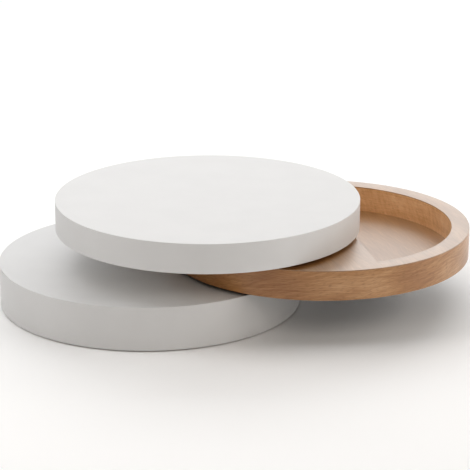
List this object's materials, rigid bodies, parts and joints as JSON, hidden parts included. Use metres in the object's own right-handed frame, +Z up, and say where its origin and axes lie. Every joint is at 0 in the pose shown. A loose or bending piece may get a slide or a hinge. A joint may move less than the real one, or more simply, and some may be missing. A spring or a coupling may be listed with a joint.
{
  "type": "swivel coffee table",
  "caption": "Low round coffee table of stacked drums that swivel apart on hidden bearings, white base and top with an oak tray between them that opens to a half-moon compartment.",
  "frame": {"origin": "on the floor under the centre of the base, at the middle of the centre glide", "axes": "+Z up, +X towards the side that the tray is swung out to, +Y to the back"},
  "size_m": [1.2478, 0.8522, 0.294],
  "materials": {
    "white_lacquer": "matt white lacquer on board",
    "oak_veneer": "matt lacquered oak veneer",
    "raw_board": "raw fibreboard",
    "ring_aluminium": "turned",
    "zinc_screw": "zinc plated",
    "ball_steel": "polished",
    "cage_nylon": "moulded nylon",
    "glide_plastic": "moulded"
  },
  "bodies": {
    "base": {"base_top_panel": "white_lacquer", "base_side_band": "white_lacquer", "base_bottom_panel": "raw_board", "base_rib_left": "raw_board", "base_rib_right": "raw_board", "base_rib_cross": "raw_board", "base_bottom_screws": "zinc_screw", "base_glides": "glide_plastic", "lower_ring_fixed": "ring_aluminium", "lower_ring_fixed_screws": "zinc_screw"},
    "lower_cage": {"lower_ball_cage": "cage_nylon", "lower_balls": "ball_steel"},
    "tray": {"lower_ring_turning": "ring_aluminium", "lower_ring_turning_screws": "zinc_screw", "tray_floor_panel": "oak_veneer", "tray_floor_screws": "zinc_screw", "tray_outer_band": "oak_veneer", "tray_deck": "oak_veneer", "tray_inner_lining": "oak_veneer", "tray_partition_facing": "oak_veneer", "tray_partition": "raw_board", "tray_rim_blocks": "raw_board", "tray_rib_left": "raw_board", "tray_rib_right": "raw_board", "tray_rib_cross": "raw_board", "upper_ring_fixed": "ring_aluminium", "upper_ring_fixed_screws": "zinc_screw"},
    "upper_cage": {"upper_ball_cage": "cage_nylon", "upper_balls": "ball_steel"},
    "top": {"upper_ring_turning": "ring_aluminium", "upper_ring_turning_screws": "zinc_screw", "top_bottom_panel": "white_lacquer", "top_side_band": "white_lacquer", "top_panel": "white_lacquer", "top_rib_left": "raw_board", "top_rib_right": "raw_board", "top_rib_cross": "raw_board"}
  },
  "joints": [
    {"name": "tray_swivel", "type": "hinge", "parent": "base", "child": "tray", "pos_m": [0.22595, -0.02654, 0.123], "axis": [0, 0, 1], "continuous": true},
    {"name": "lower_cage_orbit", "type": "hinge", "parent": "base", "child": "lower_cage", "pos_m": [0.22595, -0.02654, 0.123], "axis": [0, 0, 1], "continuous": true},
    {"name": "top_swivel", "type": "hinge", "parent": "tray", "child": "top", "pos_m": [0.30217, -0.00951, 0.211], "axis": [0, 0, 1], "continuous": true},
    {"name": "upper_cage_orbit", "type": "hinge", "parent": "tray", "child": "upper_cage", "pos_m": [0.30217, -0.00951, 0.211], "axis": [0, 0, 1], "continuous": true}
  ],
  "couplings": [
    {"joint": "lower_cage_orbit", "follows": "tray_swivel", "ratio": 0.5},
    {"joint": "upper_cage_orbit", "follows": "top_swivel", "ratio": 0.5}
  ]
}
